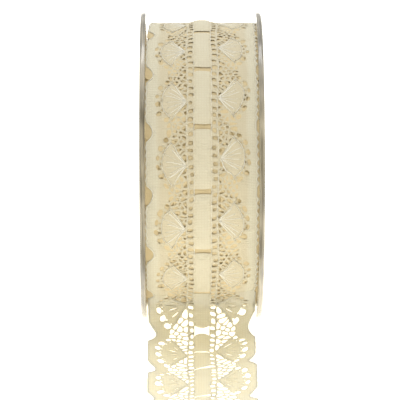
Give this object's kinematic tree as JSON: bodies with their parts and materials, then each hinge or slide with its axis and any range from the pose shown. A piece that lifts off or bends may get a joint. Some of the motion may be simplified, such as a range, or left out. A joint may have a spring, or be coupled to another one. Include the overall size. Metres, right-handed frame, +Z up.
{
  "type": "spool of lace ribbon",
  "caption": "Spool of cream lace ribbon with scalloped edges, fans and a slit middle strip between two clear plastic flanges, its loose end lying out in front.",
  "frame": {"origin": "on the surface that the spool stands on, under the middle of the whole part, loose end included", "axes": "+X along the spool's axle to its right, -Y forward along the loose end, +Z up"},
  "size_m": [0.0564, 0.19, 0.1436],
  "materials": {
    "clear_plastic": "clear, smooth",
    "wound_lace": "matt cotton with a slight sheen",
    "loose_lace": "matt cotton with a slight sheen"
  },
  "bodies": {
    "root": {"flange_left": "clear_plastic", "flange_right": "clear_plastic", "lace_roll": "wound_lace", "lace_tail": "loose_lace"}
  },
  "joints": []
}
